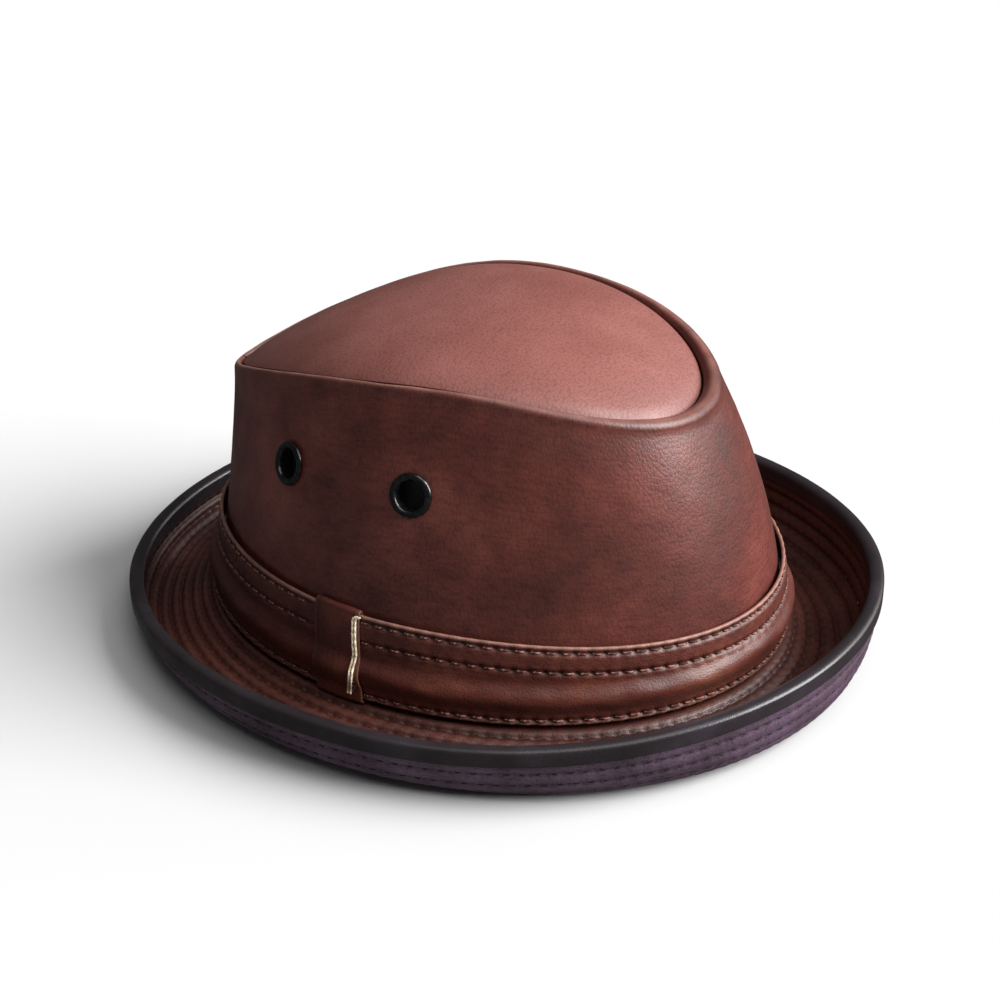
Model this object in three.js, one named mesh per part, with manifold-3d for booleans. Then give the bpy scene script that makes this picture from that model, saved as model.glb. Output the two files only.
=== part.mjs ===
// Leather trilby with a short, turned-up, row-stitched brim and a puffed leather hatband.
// Millimetres, +Z up. -Y is the front of the hat and +X is the wearer's left.
// The hat stands on the flat ring under its brim, at z = 0, and every layer is a closed shell.

import * as THREE from 'three';
import { ParametricGeometry } from 'three/addons/geometries/ParametricGeometry.js';
import { mergeVertices } from 'three/addons/utils/BufferGeometryUtils.js';
import Module from 'manifold-3d';

const wasm = await Module();
wasm.setup();

// ---------------------------------------------------------------- driving dimensions

const SEGMENTS = 40;
const GAP = 0.35;

// The crown stands a little forward of the middle of the brim.
const CROWN_FORWARD = 1.85;

// Head oval, measured on the outside of the crown wall where it meets the brim.
const HEAD = { halfLength: 109, halfWidth: 88.2, z: 9.9 };

// Teardrop outline of the tip panel: narrow at the front, full and round at the back, arched
// lengthwise and domed like a cushion.
const TIP = {
  centreY: -13.6,
  halfLength: 89.5,
  halfWidth: 54,
  frontPinch: 0.41,
  backFullness: 0.14,
  middleZ: 95.2,
  rise: 22.8,
  slope: 0.104,
  dome: 6.5,
  domePower: 4,
  thickness: 1.3,
};

// Wall panel: how far it bows out, and the soft roll of its top edge, at front, side and back.
const WALL = {
  thickness: 1.4,
  bow: { front: -1.7, side: 3.5, back: 5.4 },
  rollWidth: { front: 3, side: 3.5, back: 7.2 },
  rollHeight: { front: 0.4, side: 0.5, back: 1.6 },
  shoulderDrop: 2,
  rows: 5,
  joinWidth: 0.4,
};

const INTERLINING = { outer: WALL.thickness + 0.5, thickness: 0.5, topGap: 4, edgeGap: 3, rows: 4 };
const LINING = { outer: 5, thickness: 0.45, topGap: 1.5, rows: 4 };
const SWEATBAND = { outer: 5.9, thickness: 0.9, bottomZ: 9.9, topZ: 41 };
const REED = { depth: 6.8, z: 7.6, radius: 1.1, sides: 6 };

const BRIM = {
  rimHalfLength: 138.9,
  rimHalfWidth: 121.8,
  innerMargin: 5.2,
  joinZ: 9.5,
  rimZ: { front: 13.4, side: 22.2, back: 30.8 },
  valleyZ: 2.6,
  curlZ: { front: -3.7, side: -5.1, back: -8.4 },
  topThickness: 0.9,
  stiffenerThickness: 0.6,
  underThickness: 0.9,
  stations: [0, 0.2, 0.4, 0.5, 0.65, 0.82, 1],
};
const BINDING = { thickness: 0.9, leg: 4.4, gap: 0.3 };

const BAND = {
  bottomZ: 11.4,
  topZ: { front: 37.5, side: 41.5, back: 36.5 },
  standOff: 1.6,
  thickness: 1.1,
  puff: 2.2,
  puffBottomZ: 14,
  puffTopZ: 27.5,
  joinWidth: 1,
  stations: [11.4, 14, 17, 20.75, 24.5, 27.5],
};
const FILLER = { stations: [16, 18.5, 23, 25.5], back: 0.6 };
const KEEPER = { angle: -10.5, width: 15.5, thickness: 0.8, leg: 4.2 };
const TACK = { diameter: 1, sides: 6, steps: 12 };

const EYELET = {
  places: { front: { angle: -26.5, z: 80 }, rear: { angle: 5, z: 85 } },
  flangeRadius: 7.9,
  boreRadius: 5.1,
  barrelRadius: 5.7,
  holeRadius: 6.1,
  washerRadius: 7.6,
  sides: 16,
};

// ---------------------------------------------------------------- small helpers

const finish = (name, color, roughness) => {
  return new THREE.MeshStandardMaterial({ name, color, roughness, metalness: 0 });
};
const MATERIALS = {
  tip: finish('tip_leather', '#7c4a43', 0.5),
  wall: finish('wall_leather', '#552a25', 0.5),
  brim: finish('brim_leather', '#4f241f', 0.5),
  underside: finish('underside_leather', '#3a2530', 0.6),
  binding: finish('binding_leather', '#2b2228', 0.4),
  band: finish('band_leather', '#57291f', 0.45),
  sweatband: finish('sweatband_leather', '#3c2a24', 0.6),
  canvas: finish('stiffening_canvas', '#cfc5b2', 0.9),
  satin: finish('lining_satin', '#1d1719', 0.5),
  thread: finish('sewing_thread', '#d9bb86', 0.8),
  metal: new THREE.MeshStandardMaterial({
    name: 'blackened_metal',
    color: '#17181b',
    roughness: 0.3,
    metalness: 0.9,
  }),
};

const hat = new THREE.Group();
hat.position.y = -CROWN_FORWARD;

function addPiece(name, geometry, material) {
  const mesh = new THREE.Mesh(geometry, material);
  mesh.name = name;
  hat.add(mesh);
  return mesh;
}

// Blends a front, side and back value round the hat; angle 0 is the left side, 90 degrees the back.
function around({ front, side, back }, t) {
  const s = Math.sin(t);
  return side + ((s > 0 ? back : front) - side) * s * s;
}

// Lofts a section round the hat. A ring's section is a closed loop; a disc's runs from pole to pole.
function loft(sectionAt, closed = true) {
  const sections = [];
  for (let i = 0; i < SEGMENTS; i += 1) {
    const section = sectionAt((2 * Math.PI * i) / SEGMENTS);
    sections.push(closed ? [...section, section[0]] : section);
  }
  const rows = sections[0].length - 1;
  const place = (u, v, target) => {
    target.copy(sections[Math.round(u * SEGMENTS) % SEGMENTS][Math.round(v * rows)]);
  };
  return new ParametricGeometry(place, SEGMENTS, rows);
}

// Moves every point of a profile along the surface normal: outwards on the wall, down on the brim.
function offset(profileAt, distance, t) {
  const step = 1e-3;
  const before = profileAt(t - step);
  const after = profileAt(t + step);
  const points = profileAt(t);
  return points.map((point, i) => {
    const sideways = after[i].clone().sub(before[i]);
    const next = points[Math.min(i + 1, points.length - 1)];
    const along = next.clone().sub(points[Math.max(i - 1, 0)]);
    return point.clone().addScaledVector(sideways.cross(along).normalize(), distance);
  });
}

// A closed section between two offsets of one profile, cut off level at a lowest height.
function shell(profileAt, from, to, lowest) {
  return (t) => {
    const section = [...offset(profileAt, from, t), ...offset(profileAt, to, t).reverse()];
    for (const point of section) {
      point.z = Math.max(point.z, lowest);
    }
    return section;
  };
}

function toSolid(geometry) {
  const bare = geometry.clone();
  bare.deleteAttribute('normal');
  bare.deleteAttribute('uv');
  const merged = mergeVertices(bare, 1e-4);
  const vertProperties = new Float32Array(merged.attributes.position.array);
  const triVerts = new Uint32Array(merged.index.array);
  return new wasm.Manifold(new wasm.Mesh({ numProp: 3, vertProperties, triVerts }));
}

function toGeometry(solid) {
  const mesh = solid.getMesh();
  const geometry = new THREE.BufferGeometry();
  geometry.setAttribute('position', new THREE.BufferAttribute(mesh.vertProperties, 3));
  geometry.setIndex(new THREE.BufferAttribute(mesh.triVerts, 1));
  geometry.computeVertexNormals();
  return geometry;
}

// ---------------------------------------------------------------- crown surfaces

function headPoint(t, outwards, z) {
  const point = new THREE.Vector3(HEAD.halfWidth * Math.cos(t), HEAD.halfLength * Math.sin(t), z);
  return point.addScaledVector(headNormal(t), outwards);
}

function headNormal(t) {
  return new THREE.Vector3(Math.cos(t) / HEAD.halfWidth, Math.sin(t) / HEAD.halfLength, 0).normalize();
}

function seamZ(y) {
  const s = (y - TIP.centreY) / TIP.halfLength;
  return TIP.middleZ + TIP.slope * (y - TIP.centreY) + TIP.rise * (1 - s * s);
}

function seamPoint(t) {
  const s = Math.sin(t);
  const fullness = 1 + (s < 0 ? -TIP.frontPinch : TIP.backFullness) * s * s;
  const y = TIP.centreY + TIP.halfLength * s;
  return new THREE.Vector3(TIP.halfWidth * Math.cos(t) * fullness, y, seamZ(y));
}

function seamNormal(t) {
  const step = 1e-3;
  const tangent = seamPoint(t + step).sub(seamPoint(t - step));
  return new THREE.Vector3(tangent.y, -tangent.x, 0).normalize();
}

// A point beside the seam: a share of the roll's width outwards, and a rise above the seam.
function rollPoint(t, share, rise) {
  const point = seamPoint(t).addScaledVector(seamNormal(t), share * around(WALL.rollWidth, t));
  point.z += rise;
  return point;
}

// The wall's outer face at a height: from the head oval to the shoulder, bowed out a little.
function wallPoint(t, z) {
  const shoulder = rollPoint(t, 1, -WALL.shoulderDrop);
  const v = (z - HEAD.z) / (shoulder.z - HEAD.z);
  const point = headPoint(t, 0, HEAD.z).lerp(shoulder, v);
  return point.addScaledVector(headNormal(t), around(WALL.bow, t) * 4 * v * (1 - v));
}

function wallProfile(t, rows = WALL.rows, topGap = 0) {
  const top = rollPoint(t, 1, -WALL.shoulderDrop).z - topGap;
  const points = [];
  for (let i = 0; i <= rows; i += 1) {
    points.push(wallPoint(t, HEAD.z + ((top - HEAD.z) * i) / rows));
  }
  return points;
}

function rolledWallProfile(t) {
  const height = around(WALL.rollHeight, t);
  const roll = [
    rollPoint(t, 0.85, 0.55 * height),
    rollPoint(t, 0.5, height),
    rollPoint(t, 0.1, 0.2),
  ];
  return [...wallProfile(t), ...roll];
}

// A domed disc inside an edge, with its top face lowered by a depth.
function disc(edgeAt, depth, thickness, dome) {
  const shares = [0.45, 0.75, 0.92, 1];
  const face = (t, share, drop) => {
    const edge = edgeAt(t);
    const y = TIP.centreY + (edge.y - TIP.centreY) * share;
    const rise = dome * (1 - share ** TIP.domePower);
    return new THREE.Vector3(edge.x * share, y, seamZ(y) + rise - drop);
  };
  return (t) => {
    const under = shares.map((share) => face(t, share, depth + thickness));
    const over = shares.map((share) => face(t, share, depth)).reverse();
    return [face(t, 0, depth + thickness), ...under, ...over, face(t, 0, depth)];
  };
}

const tipEdge = (t) => seamPoint(t).addScaledVector(seamNormal(t), -GAP);
const tipInterliningEdge = (t) => seamPoint(t).addScaledVector(seamNormal(t), -INTERLINING.edgeGap);
const liningWallProfile = (t) => wallProfile(t, LINING.rows, LINING.topGap);
const liningEdge = (t) => {
  const inside = offset(liningWallProfile, -(LINING.outer + LINING.thickness + GAP), t);
  return inside[inside.length - 1];
};

// ---------------------------------------------------------------- eyelets

// The place and outward direction of an eyelet on the wall.
function eyeletFrame({ angle, z }, mirror) {
  const t = THREE.MathUtils.degToRad(mirror ? 180 - angle : angle);
  const profile = (a) => [wallPoint(a, z - 1), wallPoint(a, z), wallPoint(a, z + 1)];
  const place = wallPoint(t, z);
  const normal = offset(profile, 1, t)[1].sub(place);
  const turn = new THREE.Quaternion().setFromUnitVectors(new THREE.Vector3(0, 1, 0), normal);
  return { place, turn };
}

const eyelets = [];
for (const [side, mirror] of [['left', false], ['right', true]]) {
  for (const [row, spot] of Object.entries(EYELET.places)) {
    eyelets.push({ name: `${side}_${row}`, ...eyeletFrame(spot, mirror) });
  }
}

function lathe(points, sides) {
  const profile = points.map(([r, y]) => new THREE.Vector2(r, y));
  return new THREE.LatheGeometry([...profile, profile[0]], sides);
}

// Closed profile, radius and height from the outer face of the wall: domed flange, barrel, clinch.
function eyeletGeometry() {
  const { flangeRadius, boreRadius, barrelRadius } = EYELET;
  const clinch = barrelRadius + 1;
  return lathe([
    [clinch, -4.3],
    [clinch, -3.85],
    [barrelRadius, -3.8],
    [barrelRadius, 0.35],
    [flangeRadius, 0.35],
    [flangeRadius, 0.7],
    [flangeRadius - 1.2, 1.5],
    [boreRadius + 0.5, 1.4],
    [boreRadius, 0.8],
    [boreRadius, -4.3],
  ], EYELET.sides);
}

function washerGeometry() {
  const { holeRadius, washerRadius } = EYELET;
  return lathe([
    [holeRadius, -3.45],
    [washerRadius, -3.45],
    [washerRadius, -3.05],
    [holeRadius, -3.05],
  ], EYELET.sides);
}

function punchEyeletHoles(solid) {
  let punched = solid;
  for (const { place, turn } of eyelets) {
    const punch = new THREE.CylinderGeometry(EYELET.holeRadius, EYELET.holeRadius, 14, EYELET.sides);
    punch.applyQuaternion(turn).translate(place.x, place.y, place.z);
    punched = punched.subtract(toSolid(punch));
  }
  return punched;
}

// ---------------------------------------------------------------- crown pieces

function crownWall() {
  const wall = punchEyeletHoles(toSolid(loft(shell(rolledWallProfile, 0, -WALL.thickness, HEAD.z))));
  const join = new THREE.BoxGeometry(WALL.joinWidth, 80, 200);
  join.translate(0, -HEAD.halfLength, 0);
  return toGeometry(wall.subtract(toSolid(join)));
}

function wallInterlining() {
  const profile = (t) => wallProfile(t, INTERLINING.rows, INTERLINING.topGap);
  const from = -INTERLINING.outer;
  const section = shell(profile, from, from - INTERLINING.thickness, HEAD.z);
  return toGeometry(punchEyeletHoles(toSolid(loft(section))));
}

addPiece('crown_tip', loft(disc(tipEdge, 0, TIP.thickness, TIP.dome), false), MATERIALS.tip);
addPiece('crown_wall', crownWall(), MATERIALS.wall);

const tipInterliningDepth = TIP.thickness + GAP;
const tipInterlining = disc(tipInterliningEdge, tipInterliningDepth, INTERLINING.thickness, TIP.dome);
addPiece('tip_interlining', loft(tipInterlining, false), MATERIALS.canvas);
addPiece('wall_interlining', wallInterlining(), MATERIALS.canvas);

const liningTip = disc(liningEdge, LINING.outer, LINING.thickness, TIP.dome);
addPiece('lining_tip', loft(liningTip, false), MATERIALS.satin);
const liningInner = -LINING.outer - LINING.thickness;
const liningWall = shell(liningWallProfile, -LINING.outer, liningInner, HEAD.z);
addPiece('lining_wall', loft(liningWall), MATERIALS.satin);

for (const { name, place, turn } of eyelets) {
  for (const [kind, geometry] of [['eyelet', eyeletGeometry()], ['eyelet_washer', washerGeometry()]]) {
    const piece = addPiece(`${kind}_${name}`, geometry, MATERIALS.metal);
    piece.position.copy(place);
    piece.quaternion.copy(turn);
  }
}

// ---------------------------------------------------------------- sweatband

const sweatbandProfile = (t) => {
  return [SWEATBAND.bottomZ, 25, SWEATBAND.topZ].map((z) => wallPoint(t, z));
};
const sweatbandInner = -SWEATBAND.outer - SWEATBAND.thickness;
const sweatband = shell(sweatbandProfile, -SWEATBAND.outer, sweatbandInner, SWEATBAND.bottomZ);
addPiece('sweatband', loft(sweatband), MATERIALS.sweatband);

// The piped tape that joins the sweatband to the brim.
function reedSection(t) {
  const points = [];
  for (let i = 0; i < REED.sides; i += 1) {
    const a = (2 * Math.PI * i) / REED.sides;
    const outwards = REED.radius * Math.sin(a) - REED.depth;
    points.push(headPoint(t, outwards, REED.z - REED.radius * Math.cos(a)));
  }
  return points;
}
addPiece('sweatband_reed', loft(reedSection), MATERIALS.sweatband);

// ---------------------------------------------------------------- hatband and keeper

function bandBulge(z) {
  const share = (z - BAND.puffBottomZ) / (BAND.puffTopZ - BAND.puffBottomZ);
  return share > 0 && share < 1 ? BAND.puff * Math.sin(Math.PI * share) ** 2 : 0;
}

// A point outside the wall, level with the wall at that height.
function outsideWall(t, z, distance) {
  return wallPoint(t, z).addScaledVector(headNormal(t), distance);
}

function bandSection(t) {
  const inner = BAND.standOff;
  const outer = inner + BAND.thickness;
  const heights = [...BAND.stations, around(BAND.topZ, t)];
  const front = heights.map((z) => outsideWall(t, z, outer + bandBulge(z)));
  const back = heights.map((z) => outsideWall(t, z, inner + bandBulge(z)));
  return [...front, ...back.reverse()];
}

function fillerSection(t) {
  const front = FILLER.stations.map((z) => outsideWall(t, z, BAND.standOff - GAP + bandBulge(z)));
  const ends = [FILLER.stations[FILLER.stations.length - 1], FILLER.stations[0]];
  return [...front, ...ends.map((z) => outsideWall(t, z, FILLER.back))];
}

// A box set square to the head oval at the keeper, for trimming rings to its width.
function keeperBox(width, height) {
  const t = THREE.MathUtils.degToRad(KEEPER.angle);
  const place = headPoint(t, 0, BAND.bottomZ);
  const normal = headNormal(t);
  const box = new THREE.BoxGeometry(40, width, height);
  box.rotateZ(Math.atan2(normal.y, normal.x)).translate(place.x, place.y, place.z);
  return toSolid(box);
}

// A strip wrapped over the band and tucked behind its top and bottom edges.
function keeperSection(t) {
  const { thickness, leg } = KEEPER;
  const face = (z, extra) => {
    return outsideWall(t, z, BAND.standOff + BAND.thickness + bandBulge(z) + GAP + extra);
  };
  const tuck = BAND.standOff - GAP;
  const low = BAND.bottomZ - GAP;
  const high = around(BAND.topZ, t) + GAP;
  const middle = BAND.stations.slice(1);
  return [
    outsideWall(t, low + leg, tuck - thickness),
    outsideWall(t, low - thickness, tuck - thickness),
    face(low - thickness, thickness),
    ...middle.map((z) => face(z, thickness)),
    face(high + thickness, thickness),
    outsideWall(t, high + thickness, tuck - thickness),
    outsideWall(t, high - leg, tuck - thickness),
    outsideWall(t, high - leg, tuck),
    outsideWall(t, high, tuck),
    face(high, 0),
    ...middle.reverse().map((z) => face(z, 0)),
    face(low, 0),
    outsideWall(t, low, tuck),
    outsideWall(t, low + leg, tuck),
  ];
}

const bandRing = toSolid(loft(bandSection));
addPiece('hatband', toGeometry(bandRing.subtract(keeperBox(BAND.joinWidth, 120))), MATERIALS.band);
addPiece('hatband_filler', loft(fillerSection), MATERIALS.canvas);
const keeperRing = toSolid(loft(keeperSection));
addPiece('hatband_keeper', toGeometry(keeperRing.intersect(keeperBox(KEEPER.width, 120))), MATERIALS.band);

// The tacking thread down the keeper's rear edge, turned back at the top.
function tackThread() {
  const halfAngle = THREE.MathUtils.radToDeg(KEEPER.width / 2 / HEAD.halfWidth);
  const edge = KEEPER.angle + halfAngle - 1.2;
  const lift = BAND.standOff + BAND.thickness + 2 * GAP + KEEPER.thickness + TACK.diameter / 2;
  const route = [
    [1.6, 42],
    [0.4, 41.2],
    [0.3, 32],
    [0.4, 28.5],
    [0, 24.3],
    [-0.1, 20.7],
    [-0.6, 17.5],
    [-1.1, 15.3],
    [-1.3, 13],
  ];
  const points = route.map(([degrees, z]) => {
    return outsideWall(THREE.MathUtils.degToRad(edge + degrees), z, lift + bandBulge(z));
  });
  const circle = new THREE.Shape().absarc(0, 0, TACK.diameter / 2, 0, 2 * Math.PI);
  return new THREE.ExtrudeGeometry(circle, {
    steps: TACK.steps,
    curveSegments: TACK.sides,
    extrudePath: new THREE.CatmullRomCurve3(points),
  });
}
addPiece('keeper_tack_thread', tackThread(), MATERIALS.thread);

// ---------------------------------------------------------------- brim

// Lengthways section of the brim's top face: down from the crown, then curling up to the rim.
function brimCurve(t) {
  return new THREE.CubicBezierCurve(
    new THREE.Vector2(0, BRIM.joinZ),
    new THREE.Vector2(0.45, BRIM.valleyZ),
    new THREE.Vector2(1.02, around(BRIM.curlZ, t)),
    new THREE.Vector2(1, around(BRIM.rimZ, t)),
  );
}

function brimPoint(t, station) {
  const curve = brimCurve(t);
  const inner = headPoint(t, 0, 0);
  const rimY = CROWN_FORWARD + BRIM.rimHalfLength * Math.sin(t);
  const rim = new THREE.Vector3(BRIM.rimHalfWidth * Math.cos(t), rimY, 0);
  const at = curve.getPoint(station);
  return inner.lerp(rim, at.x).setZ(at.y);
}

function brimProfile(t) {
  const inner = headPoint(t, -BRIM.innerMargin, BRIM.joinZ);
  return [inner, ...BRIM.stations.map((station) => brimPoint(t, station))];
}

// A layer of the brim: its underside is cut off level at z = 0, where the hat stands.
function brimLayer(from, thickness) {
  return loft(shell(brimProfile, from + thickness, from, 0));
}

const stiffenerDepth = BRIM.topThickness + GAP;
const underDepth = stiffenerDepth + BRIM.stiffenerThickness + GAP;
const brimDepth = underDepth + BRIM.underThickness;
addPiece('brim_top', brimLayer(0, BRIM.topThickness), MATERIALS.brim);
addPiece('brim_stiffener', brimLayer(stiffenerDepth, BRIM.stiffenerThickness), MATERIALS.canvas);
addPiece('brim_under', brimLayer(underDepth, BRIM.underThickness), MATERIALS.underside);

// The binding's profile runs straight from the end of its leg to just beyond the rim.
function bindingProfile(t) {
  const rim = brimPoint(t, 1);
  const climb = rim.clone().sub(brimPoint(t, BRIM.stations[BRIM.stations.length - 2])).normalize();
  const reaches = [-BINDING.leg, 0, BINDING.gap, BINDING.gap + BINDING.thickness];
  return reaches.map((reach) => rim.clone().addScaledVector(climb, reach));
}

function bindingSection(t) {
  const { thickness, gap } = BINDING;
  const topOuter = offset(bindingProfile, -gap - thickness, t);
  const topInner = offset(bindingProfile, -gap, t);
  const underInner = offset(bindingProfile, brimDepth + gap, t);
  const underOuter = offset(bindingProfile, brimDepth + gap + thickness, t);
  const crest = offset(bindingProfile, brimDepth / 2, t)[3];
  return [
    ...underOuter.slice(0, 3),
    underInner[3],
    crest,
    topInner[3],
    ...topOuter.slice(0, 3).reverse(),
    ...topInner.slice(0, 3),
    ...underInner.slice(0, 3).reverse(),
  ];
}
addPiece('brim_binding', loft(bindingSection), MATERIALS.binding);

export default hat;
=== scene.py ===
import math

import bpy
import numpy as np
from mathutils import Matrix, Vector, noise


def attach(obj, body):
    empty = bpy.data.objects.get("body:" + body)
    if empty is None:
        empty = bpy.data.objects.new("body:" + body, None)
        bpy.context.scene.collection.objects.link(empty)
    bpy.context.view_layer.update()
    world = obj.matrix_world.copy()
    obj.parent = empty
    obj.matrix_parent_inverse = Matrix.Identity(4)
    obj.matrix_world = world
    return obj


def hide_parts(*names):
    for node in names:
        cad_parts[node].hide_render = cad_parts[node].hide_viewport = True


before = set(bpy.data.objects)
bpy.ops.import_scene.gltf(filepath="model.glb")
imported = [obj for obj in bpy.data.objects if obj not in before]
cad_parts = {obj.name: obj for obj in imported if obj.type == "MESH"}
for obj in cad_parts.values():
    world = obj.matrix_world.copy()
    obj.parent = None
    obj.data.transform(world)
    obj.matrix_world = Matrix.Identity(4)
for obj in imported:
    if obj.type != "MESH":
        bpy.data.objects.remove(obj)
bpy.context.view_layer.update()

bpy.ops.object.select_all(action="DESELECT")

# ------------------------------------------------------------------ crown wall
# One wrap-round panel of waxed cowhide, about 1.4 mm thick, butted at the front. It leans in towards
# the top, bows out a little, and its top edge rolls softly over into the seam of the tip panel.

MM = 0.001
FULL_TURN = 2 * math.pi
COLUMNS = 960

CROWN_FORWARD = 1.85
HEAD_LENGTH, HEAD_WIDTH, HEAD_Z = 109.0, 88.2, 9.9
TIP_CENTRE_Y, TIP_LENGTH, TIP_WIDTH, TIP_PINCH, TIP_FULLNESS = -13.6, 89.5, 54.0, 0.41, 0.14
TIP_MIDDLE_Z, TIP_RISE, TIP_SLOPE, TIP_DOME, TIP_DOME_POWER = 95.2, 22.8, 0.104, 6.5, 4
WALL_THICKNESS = 1.4
WALL_BOW = (-1.7, 3.5, 5.4)
ROLL_WIDTH = (3.0, 3.5, 7.2)
ROLL_HEIGHT = (0.4, 0.5, 1.7)
SHOULDER_DROP = 2.0
WALL_ROWS, CREST_ROW, CREST_SPREAD = 44, 51, 2.6


def around(values, t):
    """Blends a front, side and back value round the hat: 0 is the left side, a quarter turn the back."""
    front, side, back = values
    s = np.sin(t)
    return side + (np.where(s > 0, back, front) - side) * s * s


def unit(vectors):
    return vectors / np.linalg.norm(vectors, axis=-1, keepdims=True)


def head_normal(t):
    return unit(np.stack([np.cos(t) / HEAD_WIDTH, np.sin(t) / HEAD_LENGTH, 0 * t], -1))


def head_point(t, outwards, z):
    y = HEAD_LENGTH * np.sin(t) - CROWN_FORWARD
    point = np.stack([HEAD_WIDTH * np.cos(t), y, z + 0 * t], -1)
    return point + head_normal(t) * np.asarray(outwards + 0 * t)[..., None]


def seam_z(y):
    s = (y - TIP_CENTRE_Y) / TIP_LENGTH
    return TIP_MIDDLE_Z + TIP_SLOPE * (y - TIP_CENTRE_Y) + TIP_RISE * (1 - s * s)


def seam_point(t):
    s = np.sin(t)
    fullness = 1 + np.where(s < 0, -TIP_PINCH, TIP_FULLNESS) * s * s
    y = TIP_CENTRE_Y + TIP_LENGTH * s
    return np.stack([TIP_WIDTH * np.cos(t) * fullness, y - CROWN_FORWARD, seam_z(y)], -1)


def seam_normal(t):
    tangent = seam_point(t + 1e-3) - seam_point(t - 1e-3)
    return unit(np.stack([tangent[..., 1], -tangent[..., 0], 0 * t], -1))


def roll_point(t, share, rise):
    """A point beside the tip's seam: a share of the roll's width outwards, and a rise above it."""
    point = seam_point(t) + seam_normal(t) * (share * around(ROLL_WIDTH, t))[..., None]
    point[..., 2] += rise
    return point


def wall_point(t, z):
    """The wall's outer face at a height."""
    shoulder = roll_point(t, 1.0, -SHOULDER_DROP)
    v = ((z - HEAD_Z) / (shoulder[..., 2] - HEAD_Z))[..., None]
    bow = (around(WALL_BOW, t) * 4)[..., None] * v * (1 - v)
    return head_point(t, 0, HEAD_Z) * (1 - v) + shoulder * v + head_normal(t) * bow


def soft_noise(points, size, seed=0.0):
    """Smooth noise between about -1 and 1, with bumps about that many millimetres apart."""
    flat = (points / size).reshape(-1, 3)
    shift = Vector((seed, 1.7 * seed, 3.1 * seed))
    values = [noise.noise(Vector(p) + shift) for p in flat]
    return np.array(values).reshape(points.shape[:-1])


def turn(start=0.0, columns=COLUMNS, gap=0.0):
    return np.linspace(start + gap, start + FULL_TURN - gap, columns + 1)


def grid_normals(grid, closed=True):
    if closed:
        ring = grid[:, :-1]
        across = np.roll(ring, -1, 1) - np.roll(ring, 1, 1)
        across = np.concatenate([across, across[:, :1]], 1)
    else:
        across = np.gradient(grid, axis=1)
    return unit(np.cross(across, np.gradient(grid, axis=0)))


EDGE_ANGLES = np.radians([30, 60, 90, 120, 150])


def shell(grid, front, back, closed=True, rear_step=6, lowest=-100.0):
    """Rows of a closed section: the front face, a round edge, the back face and a round edge."""
    normals = grid_normals(grid, closed)
    face = grid + normals * np.broadcast_to(front, grid.shape[:2])[..., None]
    rear = grid + normals * np.broadcast_to(back, grid.shape[:2])[..., None]

    def edge(a, b, outwards):
        middle, half = (a + b) / 2, (a - b) / 2
        radius = np.linalg.norm(half, axis=-1, keepdims=True)
        return [middle + half * math.cos(k) + outwards * radius * math.sin(k) for k in EDGE_ANGLES]

    top = edge(face[-1], rear[-1], unit(grid[-1] - grid[-2]))
    foot = edge(rear[0], face[0], unit(grid[0] - grid[1]))
    middle = rear[-2:0:-rear_step]
    rows = np.array([*face, *top, rear[-1], *middle, rear[0], *foot, face[0]])
    rows[..., 2] = np.maximum(rows[..., 2], lowest)
    return rows


def pinch_ends(offset, middle, columns=3):
    """Closes a strip's two cut ends: its faces meet half way at the first and last column."""
    share = np.ones(offset.shape[-1])
    for i, value in enumerate(np.sin(np.linspace(0, math.pi / 2, columns + 1))[:-1]):
        share[i] = share[-1 - i] = value
    return middle + (offset - middle) * share


def sheet(name, rows, marks=None, flat_uv=None):
    """Lays a sheet of mesh over rows of points in millimetres and sews it where its edges meet. Marks
    are named values for the face rows, kept on the mesh for the finish to read."""
    count_v, count_u = rows.shape[:2]
    bpy.ops.mesh.primitive_grid_add(x_subdivisions=count_u - 1, y_subdivisions=count_v - 1)
    piece = bpy.context.object
    piece.name = piece.data.name = name
    piece.data.vertices.foreach_set("co", (rows * MM).astype(np.float32).ravel())
    middle = rows[count_v // 4]
    run_u = np.concatenate([[0], np.cumsum(np.linalg.norm(np.diff(middle, axis=0), axis=-1))])
    run_v = np.concatenate([[0], np.cumsum(np.linalg.norm(np.diff(rows[:, 0], axis=0), axis=-1))])
    corners = np.zeros(len(piece.data.loops), np.int32)
    piece.data.loops.foreach_get("vertex_index", corners)
    if flat_uv is None:
        uv = np.stack([run_u[corners % count_u], run_v[corners // count_u]], -1) * MM
    else:
        uv = flat_uv.reshape(-1, 2)[corners] * MM
    piece.data.uv_layers.active.data.foreach_set("uv", uv.astype(np.float32).ravel())
    for mark, values in (marks or {}).items():
        full = np.zeros((count_v, count_u), np.float32)
        full[: len(values)] = values
        full[len(values) : len(values) + 5] = values[-1]
        piece.data.attributes.new(mark, "FLOAT", "POINT").data.foreach_set("value", full.ravel())
    bpy.ops.object.mode_set(mode="EDIT")
    bpy.ops.mesh.select_all(action="SELECT")
    bpy.ops.mesh.remove_doubles(threshold=0.004 * MM)
    bpy.ops.mesh.dissolve_degenerate(threshold=0.001 * MM)
    bpy.ops.mesh.normals_make_consistent(inside=False)
    bpy.ops.object.mode_set(mode="OBJECT")
    bpy.ops.object.shade_smooth()
    piece.select_set(False)
    return piece


def fit(piece, material, slot, *nodes):
    """Gives a finished piece its material and its place on the hat, in the stead of CAD nodes."""
    piece.data.materials.clear()
    piece.data.materials.append(material)
    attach(piece, "root")
    if nodes:
        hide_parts(*nodes)
    return piece


def colour(hex_code):
    """An sRGB hex colour as linear RGBA."""
    parts = [int(hex_code[i : i + 2], 16) / 255 for i in (1, 3, 5)]
    linear = [c / 12.92 if c <= 0.04045 else ((c + 0.055) / 1.055) ** 2.4 for c in parts]
    return (*linear, 1.0)


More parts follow.
